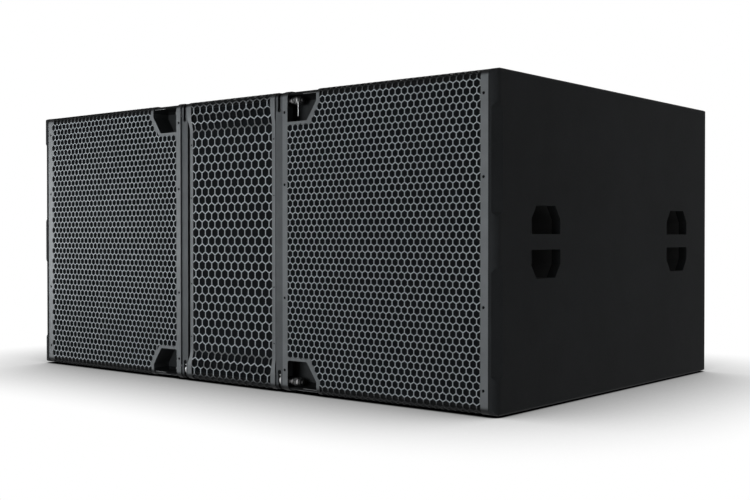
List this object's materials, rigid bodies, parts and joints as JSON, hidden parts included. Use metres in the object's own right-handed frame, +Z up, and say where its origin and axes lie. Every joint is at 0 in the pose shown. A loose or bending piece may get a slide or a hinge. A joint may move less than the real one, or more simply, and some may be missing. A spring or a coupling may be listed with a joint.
{
  "type": "line array subwoofer",
  "caption": "Wide black bass cabinet of a line array: perforated steel grilles beside a centre port, slotted rigging posts with pins and links, hand holes.",
  "frame": {"origin": "middle of the footprint, on the surface that the skids stand on", "axes": "+X to the right as seen from the front, -Y out of the grilles, +Z up"},
  "size_m": [1.32, 0.87, 0.597],
  "materials": {
    "cabinet_paint": "hard textured black coating",
    "bare_birch": "matte",
    "grille_paint": "satin",
    "acoustic_foam": "matte",
    "post_paint": "satin",
    "link_steel": "satin",
    "pin_steel": "satin",
    "button_plastic": "satin",
    "handle_plastic": "matte",
    "liner_paint": "satin",
    "skid_plastic": "matte",
    "screw_black": "satin",
    "basket_aluminium": "satin",
    "motor_iron": "matte",
    "cone_paper": "matte",
    "surround_rubber": "matte",
    "spider_cloth": "matte",
    "dish_paint": "satin",
    "socket_plastic": "satin",
    "wire_rubber": "matte"
  },
  "bodies": {
    "cabinet": {"baffle_left": "cabinet_paint", "baffle_right": "cabinet_paint", "brace_frames": "bare_birch", "connector_dish": "dish_paint", "driver_basket_left": "basket_aluminium", "driver_basket_right": "basket_aluminium", "driver_motor_left": "motor_iron", "driver_motor_right": "motor_iron", "driver_screws": "screw_black", "floor_panel": "cabinet_paint", "foam_center": "acoustic_foam", "foam_left": "acoustic_foam", "foam_right": "acoustic_foam", "front_post_left": "post_paint", "front_post_right": "post_paint", "grille_center": "grille_paint", "grille_left": "grille_paint", "grille_rails": "cabinet_paint", "grille_right": "grille_paint", "grille_screws": "screw_black", "handle_cups_left": "handle_plastic", "handle_cups_right": "handle_plastic", "pocket_liners": "liner_paint", "port_wall_left": "cabinet_paint", "port_wall_right": "cabinet_paint", "rear_panels": "cabinet_paint", "rear_post_left": "post_paint", "rear_post_right": "post_paint", "side_panel_left": "cabinet_paint", "side_panel_right": "cabinet_paint", "skids": "skid_plastic", "sockets": "socket_plastic", "speaker_wires": "wire_rubber", "spider_left": "spider_cloth", "spider_right": "spider_cloth", "surround_left": "surround_rubber", "surround_right": "surround_rubber", "top_panel": "cabinet_paint"},
    "cone_left": {"cone_left": "cone_paper"},
    "front_link_left": {"front_link_left": "link_steel"},
    "front_bottom_pin_left": {"front_bottom_pin_left": "pin_steel"},
    "front_bottom_button_left": {"front_bottom_button_left": "button_plastic"},
    "front_top_pin_left": {"front_top_pin_left": "pin_steel"},
    "front_top_button_left": {"front_top_button_left": "button_plastic"},
    "rear_link_left": {"rear_link_left": "link_steel"},
    "rear_bottom_pin_left": {"rear_bottom_pin_left": "pin_steel"},
    "rear_bottom_button_left": {"rear_bottom_button_left": "button_plastic"},
    "rear_top_pin_left": {"rear_top_pin_left": "pin_steel"},
    "rear_top_button_left": {"rear_top_button_left": "button_plastic"},
    "cone_right": {"cone_right": "cone_paper"},
    "front_link_right": {"front_link_right": "link_steel"},
    "front_bottom_pin_right": {"front_bottom_pin_right": "pin_steel"},
    "front_bottom_button_right": {"front_bottom_button_right": "button_plastic"},
    "front_top_pin_right": {"front_top_pin_right": "pin_steel"},
    "front_top_button_right": {"front_top_button_right": "button_plastic"},
    "rear_link_right": {"rear_link_right": "link_steel"},
    "rear_bottom_pin_right": {"rear_bottom_pin_right": "pin_steel"},
    "rear_bottom_button_right": {"rear_bottom_button_right": "button_plastic"},
    "rear_top_pin_right": {"rear_top_pin_right": "pin_steel"},
    "rear_top_button_right": {"rear_top_button_right": "button_plastic"}
  },
  "joints": [
    {"name": "cone_left_travel", "type": "slide", "parent": "cabinet", "child": "cone_left", "axis": [0, -1, 0], "range_m": [-0.01, 0.01], "stiffness_N_per_m": 9000, "deforming": ["surround_left", "spider_left"]},
    {"name": "front_link_left_lift", "type": "slide", "parent": "cabinet", "child": "front_link_left", "axis": [0, 0, 1], "range_m": [0, 0.0375]},
    {"name": "front_bottom_pin_left_draw", "type": "slide", "parent": "cabinet", "child": "front_bottom_pin_left", "axis": [-1, 0, 0], "range_m": [0, 0.022]},
    {"name": "front_bottom_button_left_press", "type": "slide", "parent": "front_bottom_pin_left", "child": "front_bottom_button_left", "axis": [1, 0, 0], "range_m": [0, 0.003], "stiffness_N_per_m": 500},
    {"name": "front_top_pin_left_draw", "type": "slide", "parent": "cabinet", "child": "front_top_pin_left", "axis": [-1, 0, 0], "range_m": [0, 0.022]},
    {"name": "front_top_button_left_press", "type": "slide", "parent": "front_top_pin_left", "child": "front_top_button_left", "axis": [1, 0, 0], "range_m": [0, 0.003], "stiffness_N_per_m": 500},
    {"name": "rear_link_left_lift", "type": "slide", "parent": "cabinet", "child": "rear_link_left", "axis": [0, 0, 1], "range_m": [0, 0.0375]},
    {"name": "rear_bottom_pin_left_draw", "type": "slide", "parent": "cabinet", "child": "rear_bottom_pin_left", "axis": [-1, 0, 0], "range_m": [0, 0.022]},
    {"name": "rear_bottom_button_left_press", "type": "slide", "parent": "rear_bottom_pin_left", "child": "rear_bottom_button_left", "axis": [1, 0, 0], "range_m": [0, 0.003], "stiffness_N_per_m": 500},
    {"name": "rear_top_pin_left_draw", "type": "slide", "parent": "cabinet", "child": "rear_top_pin_left", "axis": [-1, 0, 0], "range_m": [0, 0.022]},
    {"name": "rear_top_button_left_press", "type": "slide", "parent": "rear_top_pin_left", "child": "rear_top_button_left", "axis": [1, 0, 0], "range_m": [0, 0.003], "stiffness_N_per_m": 500},
    {"name": "cone_right_travel", "type": "slide", "parent": "cabinet", "child": "cone_right", "axis": [0, -1, 0], "range_m": [-0.01, 0.01], "stiffness_N_per_m": 9000, "deforming": ["surround_right", "spider_right"]},
    {"name": "front_link_right_lift", "type": "slide", "parent": "cabinet", "child": "front_link_right", "axis": [0, 0, 1], "range_m": [0, 0.0375]},
    {"name": "front_bottom_pin_right_draw", "type": "slide", "parent": "cabinet", "child": "front_bottom_pin_right", "axis": [1, 0, 0], "range_m": [0, 0.022]},
    {"name": "front_bottom_button_right_press", "type": "slide", "parent": "front_bottom_pin_right", "child": "front_bottom_button_right", "axis": [-1, 0, 0], "range_m": [0, 0.003], "stiffness_N_per_m": 500},
    {"name": "front_top_pin_right_draw", "type": "slide", "parent": "cabinet", "child": "front_top_pin_right", "axis": [1, 0, 0], "range_m": [0, 0.022]},
    {"name": "front_top_button_right_press", "type": "slide", "parent": "front_top_pin_right", "child": "front_top_button_right", "axis": [-1, 0, 0], "range_m": [0, 0.003], "stiffness_N_per_m": 500},
    {"name": "rear_link_right_lift", "type": "slide", "parent": "cabinet", "child": "rear_link_right", "axis": [0, 0, 1], "range_m": [0, 0.0375]},
    {"name": "rear_bottom_pin_right_draw", "type": "slide", "parent": "cabinet", "child": "rear_bottom_pin_right", "axis": [1, 0, 0], "range_m": [0, 0.022]},
    {"name": "rear_bottom_button_right_press", "type": "slide", "parent": "rear_bottom_pin_right", "child": "rear_bottom_button_right", "axis": [-1, 0, 0], "range_m": [0, 0.003], "stiffness_N_per_m": 500},
    {"name": "rear_top_pin_right_draw", "type": "slide", "parent": "cabinet", "child": "rear_top_pin_right", "axis": [1, 0, 0], "range_m": [0, 0.022]},
    {"name": "rear_top_button_right_press", "type": "slide", "parent": "rear_top_pin_right", "child": "rear_top_button_right", "axis": [-1, 0, 0], "range_m": [0, 0.003], "stiffness_N_per_m": 500}
  ]
}
